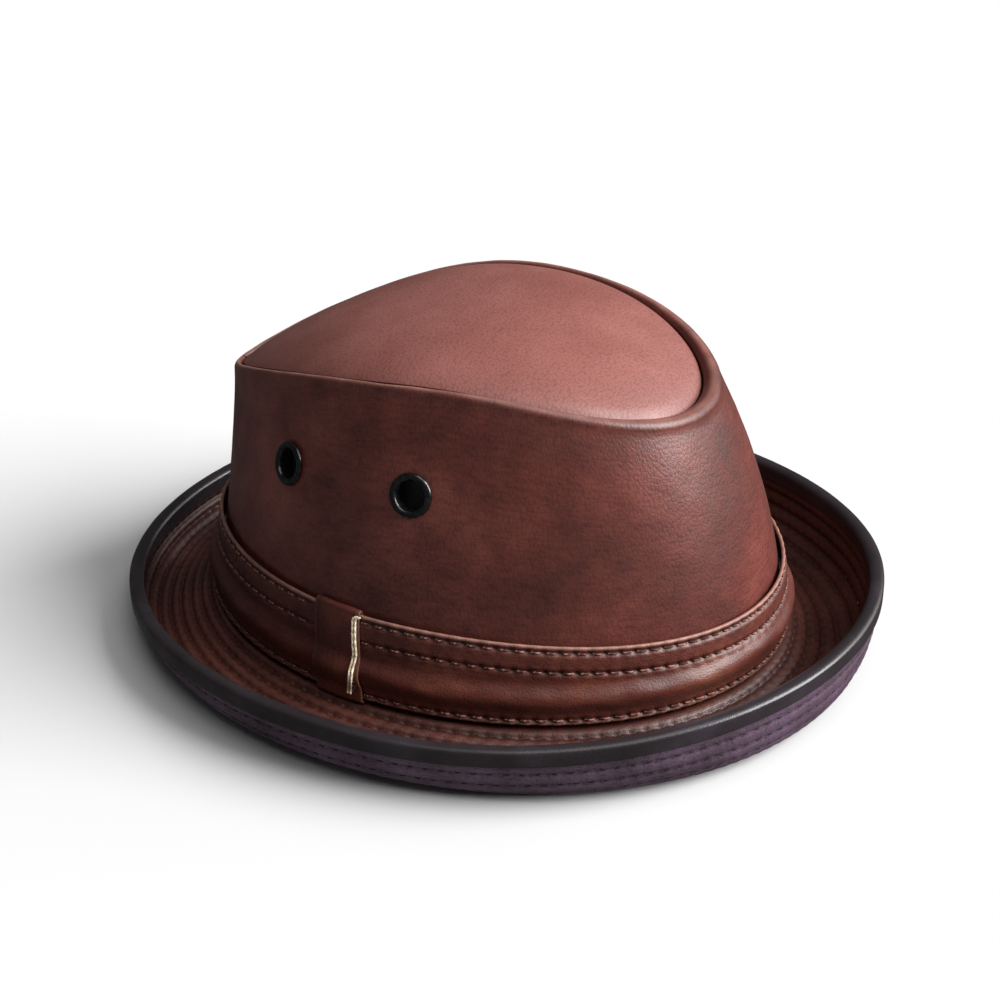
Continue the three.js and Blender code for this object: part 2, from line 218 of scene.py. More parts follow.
def add_node(material, kind, inputs, stops=(), **settings):
    """Adds a node: inputs is a dict of sockets by name or number, each a value or a socket to link.
    Stops are a colour ramp's places and hex colours."""
    tree = material.node_tree
    node = tree.nodes.new("ShaderNode" + kind)
    for key, value in settings.items():
        setattr(node, key, value)
    for key, value in inputs.items():
        if isinstance(value, bpy.types.NodeSocket):
            tree.links.new(value, node.inputs[key])
        else:
            node.inputs[key].default_value = value
    if stops:
        while len(node.color_ramp.elements) < len(stops):
            node.color_ramp.elements.new(0.5)
        for element, (position, hex_code) in zip(node.color_ramp.elements, stops):
            element.position = position
            element.color = colour(hex_code)
    return node


def new_material(name):
    material = bpy.data.materials.new(name)
    material.use_nodes = True
    return material, material.node_tree.nodes["Principled BSDF"]


def leather(name, tones, rub_and_highlight, grain_mm, grain=0.5, creases=0.5, gloss=0.45, coat=0.0):
    """Waxed, drum-dyed cowhide: pebbled grain, fine creases along the panel with painted shade in them,
    cloudy dye, painted shade in stitch holes and other shaded places, paler where an edge has rubbed or
    a highlight is painted, and a broken satin shine."""
    material, surface = new_material(name)
    link = material.node_tree.links.new
    place = add_node(material, "TexCoord", {})
    inside, along = place.outputs["Object"], place.outputs["UV"]
    clouds = add_node(
        material, "TexNoise", {"Vector": inside, "Scale": 30.0, "Detail": 6.0, "Roughness": 0.62}
    ).outputs["Fac"]
    cells = add_node(
        material, "TexVoronoi", {"Vector": along, "Scale": 1 / (grain_mm * MM)},
        voronoi_dimensions="2D", feature="F1",
    ).outputs["Distance"]
    pores = add_node(
        material, "TexNoise", {"Vector": inside, "Scale": 1 / (0.5 * MM), "Detail": 3.0}
    ).outputs["Fac"]
    stretched = add_node(
        material, "Mapping", {"Vector": along, "Scale": (1 / (14 * MM), 1 / (1.6 * MM), 1.0)}
    ).outputs["Vector"]
    crease = add_node(
        material, "TexNoise", {"Vector": stretched, "Scale": 1.0, "Detail": 3.0, "Distortion": 0.35}
    ).outputs["Fac"]
    # Thin dark lines along the creases: painted shade in them, multiplied into the colour; the same
    # lines also feed the bump.
    crease_painted_shade = add_node(
        material, "ValToRGB", {"Fac": crease},
        stops=[
            (0.40, "#ffffff"), (0.47, "#d8d8d8"), (0.5, "#606060"), (0.53, "#d8d8d8"), (0.6, "#ffffff"),
        ],
    ).outputs["Color"]
    tone = add_node(
        material, "ValToRGB", {"Fac": clouds}, stops=list(zip((0.30, 0.50, 0.72), tones))
    ).outputs["Color"]
    pebble = add_node(
        material, "ValToRGB", {"Fac": cells},
        stops=[(0.05, "#ffffff"), (0.45, "#d4d4d4"), (0.8, "#848484")],
    ).outputs["Color"]
    dyed = add_node(
        material, "Mix", {"Factor": grain, 6: tone, 7: pebble}, data_type="RGBA", blend_type="MULTIPLY"
    ).outputs[2]
    creased = add_node(
        material, "Mix", {"Factor": creases * 0.7, 6: dyed, 7: crease_painted_shade},
        data_type="RGBA", blend_type="MULTIPLY",
    ).outputs[2]
    rub_and_highlight_mask = add_node(material, "Attribute", {}, attribute_name="rub_and_highlight").outputs["Fac"]
    painted_shade = add_node(material, "Attribute", {}, attribute_name="painted_shade").outputs["Fac"]
    # Paler towards the given pale colour where a mark says: rub wear on edges, and a painted highlight
    # on the wall's roll and the brim's quilt crests.
    paler = add_node(
        material, "Mix", {"Factor": rub_and_highlight_mask, 6: creased, 7: colour(rub_and_highlight)}, data_type="RGBA"
    ).outputs[2]
    # Painted shade: where a mark says, the colour is darkened towards near-black, in stitch holes and
    # shaded places.
    darker = add_node(
        material, "Mix", {"Factor": painted_shade, 6: paler, 7: colour("#140705")}, data_type="RGBA"
    ).outputs[2]
    link(darker, surface.inputs["Base Color"])
    height = add_node(
        material, "Math", {0: pebble, 1: grain * 3.0, 2: pores}, operation="MULTIPLY_ADD"
    ).outputs[0]
    folded = add_node(
        material, "Math", {0: crease_painted_shade, 1: creases * 0.35, 2: height}, operation="MULTIPLY_ADD"
    ).outputs[0]
    bump = add_node(material, "Bump", {"Strength": 0.6, "Distance": 0.10 * MM, "Height": folded})
    link(bump.outputs["Normal"], surface.inputs["Normal"])
    shine = add_node(
        material, "MapRange",
        {
            "Value": clouds, "From Min": 0.3, "From Max": 0.7,
            "To Min": gloss + 0.08, "To Max": gloss - 0.06,
        },
    ).outputs["Result"]
    link(shine, surface.inputs["Roughness"])
    surface.inputs["Specular IOR Level"].default_value = 0.45
    surface.inputs["Coat Weight"].default_value = coat
    surface.inputs["Coat Roughness"].default_value = 0.3
    return material


front_join = -math.pi / 2
t = turn(front_join, gap=0.2 / HEAD_LENGTH)
shoulder_z = roll_point(t, 1.0, -SHOULDER_DROP)[:, 2]
upright = [wall_point(t, HEAD_Z + (shoulder_z - HEAD_Z) * v) for v in np.linspace(0, 1, WALL_ROWS)]
rolled = []
for angle in np.radians(np.linspace(12, 168, 16)):
    share = 0.5 + 0.5 * math.cos(angle)
    rise = (around(ROLL_HEIGHT, t) + SHOULDER_DROP) * math.sin(angle) - SHOULDER_DROP
    rolled.append(roll_point(t, share, rise))
wall_grid = np.array([*upright, *rolled])
relief = 0.42 * soft_noise(wall_grid, 40.0, 2.0) + 0.12 * soft_noise(wall_grid, 9.0, 5.0)
relief[-6:] *= np.linspace(1, 0, 6)[:, None]
front = pinch_ends(relief, -WALL_THICKNESS / 2)
back = pinch_ends(np.full(relief.shape, -WALL_THICKNESS), -WALL_THICKNESS / 2)
row_number = np.arange(len(wall_grid))[:, None]
# Paler along the roll's crest: rub wear, and a painted highlight on the roll.
crest_rub_and_highlight = np.exp(-(((row_number - CREST_ROW) / CREST_SPREAD) ** 2)) * around((0.7, 0.5, 0.3), t)
crest_rub_and_highlight *= 0.8 + 0.4 * soft_noise(wall_grid, 6.0, 8.0)

wall_leather = leather(
    "waxed cowhide, wall", ("#48201a", "#602e27", "#764038"), "#b0857a",
    grain_mm=1.1, grain=0.3, creases=0.42, gloss=0.38,
)
wall_rows = shell(wall_grid, front, back, closed=False)
wall = sheet("crown_wall_leather", wall_rows, {"rub_and_highlight": np.clip(crest_rub_and_highlight, 0, 1)})

# ------------------------------------------------------------------ vent eyelets
# Two-part blackened brass eyelets, two each side, punched through the wall and clinched over a
# washer behind it. A domed flange shows outside; the dark lining shows through the hole.

EYELET_SPOTS = {"front": (-26.5, 80.0), "rear": (5.0, 85.0)}
FLANGE_RADIUS, BORE_RADIUS, BARREL_RADIUS, HOLE_RADIUS, WASHER_RADIUS = 7.9, 5.1, 5.7, 6.1, 7.6


def blackened_metal():
    """Brass, blackened and rubbed: dark, glossy, with paler metal where it has worn."""
    material, surface = new_material("blackened brass")
    place = add_node(material, "TexCoord", {})
    rub = add_node(
        material, "TexNoise", {"Vector": place.outputs["Object"], "Scale": 700.0, "Detail": 4.0}
    ).outputs["Fac"]
    tone = add_node(
        material, "ValToRGB", {"Fac": rub},
        stops=[(0.30, "#333436"), (0.55, "#474747"), (0.85, "#63615d")],
    ).outputs["Color"]
    material.node_tree.links.new(tone, surface.inputs["Base Color"])
    shine = add_node(
        material, "MapRange",
        {"Value": rub, "From Min": 0.3, "From Max": 0.7, "To Min": 0.18, "To Max": 0.25},
    ).outputs["Result"]
    material.node_tree.links.new(shine, surface.inputs["Roughness"])
    surface.inputs["Metallic"].default_value = 0.9
    return material


def turned(place, axis, profile, columns=72):
    """Rows of a turned ring: a closed profile of radius and height about an axis."""
    side = unit(np.cross(axis, np.array([0.0, 0.0, 1.0])))
    other = np.cross(axis, side)
    a = np.linspace(0, FULL_TURN, columns + 1)[:, None]
    spoke = side * np.cos(a) + other * np.sin(a)
    return np.array([place + spoke * r + axis * h for r, h in [*profile, profile[0]]])


def round_over(start, corner, end, steps=6):
    """Points on a smooth curve from one profile point to another, drawn towards a corner."""
    a, b, c = map(np.array, (start, corner, end))
    return [tuple(a * (1 - k) ** 2 + 2 * b * k * (1 - k) + c * k * k) for k in np.linspace(0, 1, steps)]


CLINCH = BARREL_RADIUS + 1.0
flange = [
    *round_over((BORE_RADIUS, -1.0), (BORE_RADIUS, 1.75), (6.5, 1.6)),
    *round_over((6.7, 1.56), (FLANGE_RADIUS, 1.35), (FLANGE_RADIUS, 0.35), 7),
    (BARREL_RADIUS, 0.35), (BARREL_RADIUS, -3.75), (BARREL_RADIUS + 0.8, -3.8),
    *round_over((CLINCH, -3.95), (CLINCH, -4.3), (BARREL_RADIUS, -4.3), 4),
    *round_over((BARREL_RADIUS - 0.2, -4.3), (BORE_RADIUS, -4.2), (BORE_RADIUS, -3.4), 4),
]
washer = [
    (HOLE_RADIUS, -3.45), (WASHER_RADIUS - 0.1, -3.45), (WASHER_RADIUS, -3.35),
    (WASHER_RADIUS, -3.15), (WASHER_RADIUS - 0.1, -3.05), (HOLE_RADIUS, -3.05),
]
eyelet_metal = blackened_metal()
for side, sign in (("left", 1), ("right", -1)):
    for row, (degrees, height) in EYELET_SPOTS.items():
        angle = np.radians([degrees - 0.3, degrees, degrees + 0.3])
        patch = np.array([wall_point(angle, np.full(3, height + dz)) for dz in (-0.5, 0.0, 0.5)])
        spot = patch[1, 1] * np.array([sign, 1, 1])
        axis = grid_normals(patch, closed=False)[1, 1] * np.array([sign, 1, 1])

        bpy.ops.mesh.primitive_cylinder_add(
            vertices=64, radius=HOLE_RADIUS * MM, depth=14 * MM, location=Vector(spot * MM),
            rotation=Vector(axis).to_track_quat("Z", "Y").to_euler(),
        )
        punch = bpy.context.object
        cut = wall.modifiers.new("punch", "BOOLEAN")
        cut.operation, cut.object, cut.solver = "DIFFERENCE", punch, "EXACT"
        bpy.context.view_layer.objects.active = wall
        bpy.ops.object.modifier_apply(modifier=cut.name)
        bpy.data.objects.remove(punch)

        ring = sheet(f"eyelet_{side}_{row}_ring", turned(spot, axis, flange))
        fit(ring, eyelet_metal, "blackened_metal", f"eyelet_{side}_{row}")
        disc = sheet(f"washer_{side}_{row}_ring", turned(spot, axis, washer))
        fit(disc, eyelet_metal, "blackened_metal", f"eyelet_washer_{side}_{row}")
fit(wall, wall_leather, "wall_leather", "crown_wall")

# ------------------------------------------------------------------ crown tip
# The teardrop top panel, 1.3 mm pebbled leather, domed and arched lengthwise. Its turned edge drops
# into the seam inside the wall's roll.

TIP_THICKNESS, SEAM_GAP = 1.3, 0.35


def dome_rows(edge, shares, depth):
    """Rows of the domed face inside an edge, from its middle outwards, lowered by a depth."""
    rows = []
    for share in shares:
        y = TIP_CENTRE_Y + (edge[:, 1] + CROWN_FORWARD - TIP_CENTRE_Y) * share
        z = seam_z(y) + TIP_DOME * (1 - share**TIP_DOME_POWER) - depth
        rows.append(np.stack([edge[:, 0] * share, y - CROWN_FORWARD, z], -1))
    return np.array(rows)


t = turn(columns=480)
tip_edge = seam_point(t) - seam_normal(t) * SEAM_GAP
shares = np.array([*np.linspace(0, 0.94, 48), 0.955, 0.967, 0.977, 0.985, 0.991, 0.996, 1.0])
face = dome_rows(tip_edge, shares, 0.0)
edge_fall = around((0.2, 0.2, 1.6), t) * np.clip((shares - 0.945) / 0.055, 0, 1)[:, None] ** 2.2
face[..., 2] -= edge_fall
face[..., 2] += (0.6 + 0.45 * soft_noise(face, 34.0, 9.0)) * (1 - shares**12)[:, None]
rear = dome_rows(tip_edge, shares[::4], TIP_THICKNESS)
rear[..., 2] -= edge_fall[::4] * 0.8
tip_rows = np.array([*face, *rear[::-1]])
# The tip takes lighter tones of the wall's cowhide: painted light for the sheen the tip catches from
# above.
tip_leather = leather(
    "waxed cowhide, tip, painted lighter", ("#7b4841", "#87534c", "#946059"), "#b58a7c",
    grain_mm=1.15, grain=0.32, creases=0.05, gloss=0.43,
)
tip = sheet("crown_tip_leather", tip_rows, flat_uv=tip_rows[..., :2])
fit(tip, tip_leather, "tip_leather", "crown_tip")

# ------------------------------------------------------------------ hatband
# A folded strip of the same cowhide stood round the foot of the crown, its ends butted under the
# keeper. Two topstitched rows hold its upper edge, and a cord filler puffs it out above the third.

BAND_BOTTOM, BAND_STAND_OFF, BAND_THICKNESS = 11.4, 1.6, 1.1
BAND_TOP = (37.5, 41.5, 36.5)
PUFF, PUFF_BOTTOM, PUFF_TOP = 2.2, 14.0, 27.5
BAND_ROWS_FROM_TOP, BAND_LOW_ROW = (2.2, 9.3), 13.2
BAND_STITCHES = 120
FIRST_STITCH, LAST_STITCH = 0.09, 6.19
KEEPER_ANGLE = math.radians(-10.5)
THREAD_RADIUS = 0.38


def band_rows(t):
    """The heights of the band's three sewn rows."""
    top = around(BAND_TOP, t)
    return [*(top - below for below in BAND_ROWS_FROM_TOP), BAND_LOW_ROW + 0 * t]


def band_bulge(z):
    share = np.clip((z - PUFF_BOTTOM) / (PUFF_TOP - PUFF_BOTTOM), 0, 1)
    return PUFF * np.sin(math.pi * share) ** 2


def outside_wall(t, z, distance):
    """A point level with the wall at a height, and a distance straight out from it."""
    return wall_point(t, z) + head_normal(t) * np.asarray(distance + 0 * t)[..., None]


def sewn_relief(distance, phase, depth=0.65):
    """How a sewn row shapes leather: a groove, a dimple at each needle hole, a swell between them."""
    hole = np.clip(np.cos(phase), 0, 1) ** 1.5
    groove = 0.28 * np.exp(-((distance / 0.85) ** 2))
    dimple = depth * np.exp(-((distance / 0.75) ** 2)) * hole
    swell = 0.20 * np.exp(-(((np.abs(distance) - 1.5) / 0.8) ** 2)) * (0.5 - 0.5 * np.cos(phase))
    return swell - groove - dimple


def sewn_painted_shade(distance, phase):
    """Painted shade along a sewn row: in the groove, and most in the needle holes."""
    hole = np.clip(np.cos(phase), 0, 1) ** 2
    return np.exp(-((distance / 0.75) ** 2)) * (0.18 + 0.5 * hole)


def thread(name, tones):
    """Bonded, twisted thread: strands that slant round it, and a soft waxy shine."""
    material, surface = new_material(name)
    place = add_node(material, "TexCoord", {})
    strands = add_node(
        material, "TexWave",
        {"Vector": place.outputs["Object"], "Scale": 1 / (2.4 * MM), "Distortion": 1.5},
        bands_direction="DIAGONAL",
    ).outputs["Fac"]
    tone = add_node(
        material, "ValToRGB", {"Fac": strands}, stops=list(zip((0.15, 0.6, 0.95), tones))
    ).outputs["Color"]
    material.node_tree.links.new(tone, surface.inputs["Base Color"])
    bump = add_node(material, "Bump", {"Strength": 0.25, "Distance": 0.05 * MM, "Height": strands})
    material.node_tree.links.new(bump.outputs["Normal"], surface.inputs["Normal"])
    surface.inputs["Roughness"].default_value = 0.55
    surface.inputs["Specular IOR Level"].default_value = 0.2
    surface.inputs["Sheen Weight"].default_value = 0.1
    return material


def tube(points, radius, sides=8, plies=0, twist=0.0):
    """Rows of a round tube along points, with its ends drawn in; plies twist round it as in yarn."""
    along = unit(np.gradient(points, axis=0))
    side = unit(np.cross(along, np.array([0.31, 0.17, 0.93])))
    other = np.cross(along, side)
    a = np.linspace(0, FULL_TURN, sides + 1)
    rows = [np.repeat(points[:1], sides + 1, 0)]
    for i, point in enumerate(points):
        ply = 1 + 0.14 * np.cos(plies * (a - twist * i)) if plies else 1 + 0 * a
        end = min(1.0, 0.6 + 0.4 * i, 0.6 + 0.4 * (len(points) - 1 - i))
        ring = side[i] * np.cos(a)[:, None] + other[i] * np.sin(a)[:, None]
        rows.append(point + ring * (radius * end * ply)[:, None])
    rows.append(np.repeat(points[-1:], sides + 1, 0))
    return np.array(rows)


def one_stitch(length, radius=THREAD_RADIUS):
    """A single stitch: a short bow of thread whose two ends dive into the needle holes."""
    x = np.array([-0.5, -0.44, -0.25, 0.0, 0.25, 0.44, 0.5]) * length
    z = np.array([-0.55, -0.2, 0.16, 0.24, 0.16, -0.2, -0.55])
    return sheet("stitch", tube(np.stack([x, 0 * x, z], -1), radius, sides=6))


def row_places(point_at, t, sign=1.0):
    """Where stitches lie along a row: a matrix each, x along the row and z out of the leather."""
    step = 2e-3
    along = unit(point_at(t + step, 0.0) - point_at(t - step, 0.0))
    across = point_at(t, 0.3) - point_at(t, -0.3)
    up = unit(np.cross(along, across)) * sign
    places = []
    for x, z, origin in zip(along, up, point_at(t, 0.0)):
        y = np.cross(z, x)
        spin = Matrix([[x[k], y[k], z[k]] for k in range(3)]).to_4x4()
        places.append(Matrix.Translation(Vector(origin * MM)) @ spin)
    return places


def sew(name, stitch, places, material, slot, *nodes):
    """Copies one stitch to every place and joins the copies, each its own mesh, into one piece."""
    collection = bpy.context.scene.collection
    for place in places:
        copy = stitch.copy()
        copy.data = stitch.data.copy()
        collection.objects.link(copy)
        copy.matrix_world = place
        copy.select_set(True)
    bpy.context.view_layer.objects.active = copy
    bpy.ops.object.join()
    bpy.ops.object.transform_apply(location=True, rotation=True, scale=True)
    piece = bpy.context.object
    piece.name = piece.data.name = name
    piece.select_set(False)
    bpy.data.objects.remove(stitch)
    return fit(piece, material, slot, *nodes)


t = turn(KEEPER_ANGLE, gap=0.6 / HEAD_WIDTH)
band_top = around(BAND_TOP, t) - 0.5
z = BAND_BOTTOM + 0.5 + np.linspace(0, 1, 74)[:, None] * (band_top - BAND_BOTTOM - 0.5)
band_grid = np.array([outside_wall(t, row, BAND_STAND_OFF) for row in z])
phase = BAND_STITCHES * t
relief = BAND_THICKNESS + band_bulge(z) * (1 + 0.10 * soft_noise(band_grid, 22.0, 4.0))
# Painted shade in the band's sewn rows, gathered row by row below.
painted_shade_amount = 0 * z
for row_z in band_rows(t):
    relief += sewn_relief(z - row_z, phase)
    painted_shade_amount = np.maximum(painted_shade_amount, sewn_painted_shade(z - row_z, phase))
second = band_rows(t)[1]
relief += 0.35 * np.sin(np.clip((z - second) / 7.1, 0, 1) * math.pi)
wrinkle = soft_noise(band_grid * np.array([1.0, 1.0, 2.2]), 11.0, 6.0)
relief += 0.42 * wrinkle * np.exp(-(((z - 22) / 5.5) ** 2)) + 0.09 * soft_noise(band_grid, 4.0, 3.0)
top_edge = np.exp(-(((band_top - z) / 0.4) ** 2))
relief += 0.15 * top_edge
foot_edge = np.exp(-(((z - BAND_BOTTOM - 0.5) / 0.5) ** 2))
# Painted shade on the band just short of the keeper, at the end of its turn round the crown.
painted_shade_amount = np.maximum(painted_shade_amount, 0.35 * np.exp(-(((t - KEEPER_ANGLE - FULL_TURN + 0.45) / 0.5) ** 2)))
uneven = 0.85 + 0.3 * soft_noise(band_grid, 5.0, 1.0)
marks = {"rub_and_highlight": np.clip(0.95 * top_edge + 0.55 * foot_edge, 0, 1) * uneven, "painted_shade": painted_shade_amount}
front = pinch_ends(relief, BAND_THICKNESS / 2)
band_leather = leather(
    "waxed cowhide, band", ("#451d16", "#5c2a21", "#74402f"), "#936a5e",
    grain_mm=0.9, grain=0.3, creases=0.45, gloss=0.45, coat=0.06,
)
band_shell = shell(band_grid, front, pinch_ends(0 * relief, BAND_THICKNESS / 2), closed=False)
fit(sheet("hatband_leather", band_shell, marks), band_leather, "band_leather", "hatband")

brown_thread = thread("bonded thread, red-brown", ("#3d221c", "#6a453b", "#94695c"))
stitch_angles = KEEPER_ANGLE + (np.arange(BAND_STITCHES) + 0.5) * FULL_TURN / BAND_STITCHES
past_keeper = stitch_angles - KEEPER_ANGLE
stitch_angles = stitch_angles[(past_keeper > FIRST_STITCH) & (past_keeper < LAST_STITCH)]
stitch_shift = -(BAND_STITCHES * KEEPER_ANGLE % FULL_TURN) / BAND_STITCHES
places = []
for row in range(3):
    lift = BAND_STAND_OFF + BAND_THICKNESS - 0.16

    def row_point(t, d):
        height = band_rows(t)[row] + d
        return outside_wall(t, height, lift + band_bulge(height))

    places += row_places(row_point, stitch_angles + stitch_shift)
sew("hatband_topstitching", one_stitch(3.5, 0.37), places, brown_thread, "sewing_thread")

# ------------------------------------------------------------------ hatband keeper
# A short strip of the band leather wrapped over the band's join and tucked in behind its edges.

KEEPER_WIDTH, KEEPER_THICKNESS, KEEPER_LEG, KEEPER_GAP = 15.5, 0.8, 4.2, 0.35
FOLD_BULGE, TOP_LEAN, TOP_LEAN_FROM, TOP_FOLD_IN = 0.35, 0.9, 6.5, 0.4
KEEPER_COLUMNS = 40
keeper_half = KEEPER_WIDTH / 2 / HEAD_WIDTH
low, high = BAND_BOTTOM - KEEPER_GAP, float(around(BAND_TOP, KEEPER_ANGLE)) + KEEPER_GAP
face_out = BAND_STAND_OFF + BAND_THICKNESS + KEEPER_GAP
tuck = BAND_STAND_OFF - KEEPER_GAP
fold_middle, fold_half = (tuck + face_out) / 2, (face_out - tuck) / 2
path = [(low + KEEPER_LEG * k, tuck) for k in (1, 0.6, 0.3, 0.05)]
for k in np.radians(np.linspace(0, 180, 9)):
    path.append((low - FOLD_BULGE * math.sin(k), fold_middle - fold_half * math.cos(k)))
for z in np.linspace(low + 0.4, high - 0.4, 60):
    lean = TOP_LEAN * max(0.0, (z - high + TOP_LEAN_FROM) / TOP_LEAN_FROM) ** 2
    path.append((z, face_out + float(band_bulge(z)) - lean))
for k in np.radians(np.linspace(180, 0, 9)):
    out = fold_middle - TOP_FOLD_IN - (fold_half - TOP_FOLD_IN) * math.cos(k)
    path.append((high + FOLD_BULGE * math.sin(k), out))
path += [(high - KEEPER_LEG * k, tuck) for k in (0.05, 0.3, 0.6, 1)]
widths = KEEPER_ANGLE + keeper_half * np.linspace(-0.97, 0.97, KEEPER_COLUMNS)
keeper_grid = np.array([[outside_wall(np.array(w), z, out) for z, out in path] for w in widths])
across = np.linspace(-1, 1, KEEPER_COLUMNS)[:, None]
creased = soft_noise(keeper_grid * np.array([1.0, 1.0, 0.6]), 8.0, 7.0)
swell = 0.25 * (1 - across**2) + 0.22 * creased * (1 - across**4)
side_edge = np.exp(-(((1 - np.abs(across)) / 0.07) ** 2)) + 0 * creased
keeper_rows = shell(
    keeper_grid, -(KEEPER_THICKNESS + swell), pinch_ends(0 * swell, -0.4), closed=False, rear_step=8
)
# Painted shade across the keeper, darkest at one side edge and gone past its middle.
front_shade = 0.5 * np.clip((0.3 - across) / 1.3, 0, 1) + 0 * creased
keeper_marks = {"rub_and_highlight": 0.25 * side_edge, "painted_shade": front_shade}
keeper = sheet("hatband_keeper_leather", keeper_rows, keeper_marks)
fit(keeper, band_leather, "band_leather", "hatband_keeper")

# ------------------------------------------------------------------ keeper tack thread
# A doubled length of cream linen thread left in the keeper's rear edge from making up: it lies down
# the face, turns back at the top and ends in two short tails.

TACK_ROUTE = [
    (1.6, 42.0), (0.4, 41.2), (0.3, 32.0), (0.4, 28.5), (0.0, 24.3),
    (-0.1, 20.7), (-0.6, 17.5), (-1.1, 15.3), (-1.3, 13.0),
]
tack_edge = KEEPER_ANGLE + keeper_half - math.radians(1.2)
cream_thread = thread("linen tack thread, cream", ("#dcc193", "#f3e4c4", "#fffaf0"))
for number, sideways in ((1, -0.26), (2, 0.30)):
    angles = np.array([tack_edge + math.radians(a + sideways) for a, _ in TACK_ROUTE])
    levels = np.array([z for _, z in TACK_ROUTE])
    knots = np.linspace(0, len(levels) - 1, 60)
    coarse = np.arange(len(levels))
    smooth = [np.interp(knots, coarse, v) for v in (angles, levels)]
    for _ in range(6):
        smooth = [np.concatenate([v[:1], (v[:-2] + 2 * v[1:-1] + v[2:]) / 4, v[-1:]]) for v in smooth]
    lift = face_out + KEEPER_THICKNESS + 0.55 + 0.06 * np.sin(knots * 3 + number)
    run = outside_wall(smooth[0], smooth[1], lift + band_bulge(smooth[1]))
    strand = sheet(f"keeper_tack_strand_{number}", tube(run, 0.42, sides=12, plies=3, twist=0.5))
    fit(strand, cream_thread, "sewing_thread", *(["keeper_tack_thread"] if number == 1 else []))

# ------------------------------------------------------------------ brim top
# The brim's upper leather, quilted to its stiffener by eight rows of stitching that follow the rim.
# It dips from the crown into a valley and curls up to the rim, highest at the back.

RIM_LENGTH, RIM_WIDTH, JOIN_Z, VALLEY_Z = 138.9, 121.8, 9.5, 2.6
RIM_Z, CURL_Z = (13.4, 22.2, 30.8), (-3.7, -5.1, -8.4)
INNER_MARGIN, BRIM_TOP_THICKNESS, STITCH_LOWEST = 5.2, 0.9, 0.6
BRIM_ROW_SHARES = 0.10 + 0.1035 * np.arange(8)
BRIM_STITCHES = (120, 120, 120, 120, 160, 160, 160, 160)
BRIM_GRID_ROWS, BRIM_REAR_STEP, ROW_SHIFT = 78, 12, 2.4


def brim_curves(t, steps=81):
    """Curves across the brim's top face from crown to rim, and how far along each point is."""
    s = np.linspace(0, 1, steps)[:, None]
    a, b, c, d = (1 - s) ** 3, 3 * s * (1 - s) ** 2, 3 * s * s * (1 - s), s**3
    out = (0.45 * b + 1.02 * c + d)[..., None]
    rim = np.stack([RIM_WIDTH * np.cos(t), RIM_LENGTH * np.sin(t), 0 * t], -1)
    curve = head_point(t, 0, 0.0) * (1 - out) + rim * out
    curve[..., 2] = a * JOIN_Z + b * VALLEY_Z + c * around(CURL_Z, t) + d * around(RIM_Z, t)
    reach = np.concatenate([0 * t[None], np.cumsum(np.linalg.norm(np.diff(curve, axis=0), axis=-1), 0)])
    return curve, reach


def brim_points(t, shares):
    """Points on the brim's top face; shares run from 0 at the crown to 1 at the rim, in rows."""
    curve, reach = brim_curves(t)
    shares = np.broadcast_to(shares, (len(shares), len(t)))
    points = np.empty((*shares.shape, 3))
    for i in range(len(t)):
        at = shares[:, i] * reach[-1, i]
        for k in range(3):
            points[:, i, k] = np.interp(at, reach[:, i], curve[:, i, k])
    return points


def quilting(t, shares, width):
    """Height of the quilted face between its sewn rows, and the painted shade along the rows."""
    spacing = BRIM_ROW_SHARES[1] - BRIM_ROW_SHARES[0]
    place = (shares - BRIM_ROW_SHARES[0]) / spacing
    height = 0.62 * np.abs(np.sin(math.pi * place)) ** 0.75
    height *= np.clip((shares + 0.02) / 0.06, 0, 1)
    painted_shade_amount = 0 * height
    for number, (row, stitches) in enumerate(zip(BRIM_ROW_SHARES, BRIM_STITCHES)):
        distance = (shares - row) * width
        phase = stitches * t + number * ROW_SHIFT
        height = height + sewn_relief(distance, phase, 0.45)
        painted_shade_amount = np.maximum(painted_shade_amount, 0.6 * sewn_painted_shade(distance, phase))
    return height, painted_shade_amount


t = turn()
inner = np.array([head_point(t, -INNER_MARGIN * k, JOIN_Z) for k in (1, 0.75, 0.5, 0.25)])
shares = np.linspace(0.0, 1.0, BRIM_GRID_ROWS)[:, None] + 0 * t
outer = brim_points(t, shares)
brim_grid = np.array([*inner, *outer])
brim_width = brim_curves(t)[1][-1]
height, painted_shade_amount = quilting(t, shares, brim_width)
height = height + 0.10 * soft_noise(outer, 6.0, 11.0) + 0.25 * soft_noise(outer, 30.0, 12.0)
flat_inner = np.zeros((4, len(t)))
relief = np.concatenate([flat_inner, height])
painted_shade_amount = np.concatenate([flat_inner, painted_shade_amount])
# Paler on the quilt's crests: rub wear and a painted highlight.
quilt_crest_rub_and_highlight = np.concatenate([flat_inner, np.clip(height - 0.35, 0, 1) * 0.35])
brim_leather = leather(
    "waxed cowhide, brim", ("#2c140f", "#48231c", "#61362c"), "#875548",
    grain_mm=0.9, grain=0.3, creases=0.3, gloss=0.42,
)
brim_rows = shell(brim_grid, -relief, BRIM_TOP_THICKNESS, rear_step=BRIM_REAR_STEP)
brim_top = sheet("brim_top_leather", brim_rows, {"painted_shade": painted_shade_amount, "rub_and_highlight": quilt_crest_rub_and_highlight})
fit(brim_top, brim_leather, "brim_leather", "brim_top")


def row_tangent(row, t):
    here = np.array([[row]])
    return brim_points(t + 1e-3, here)[0] - brim_points(t - 1e-3, here)[0]


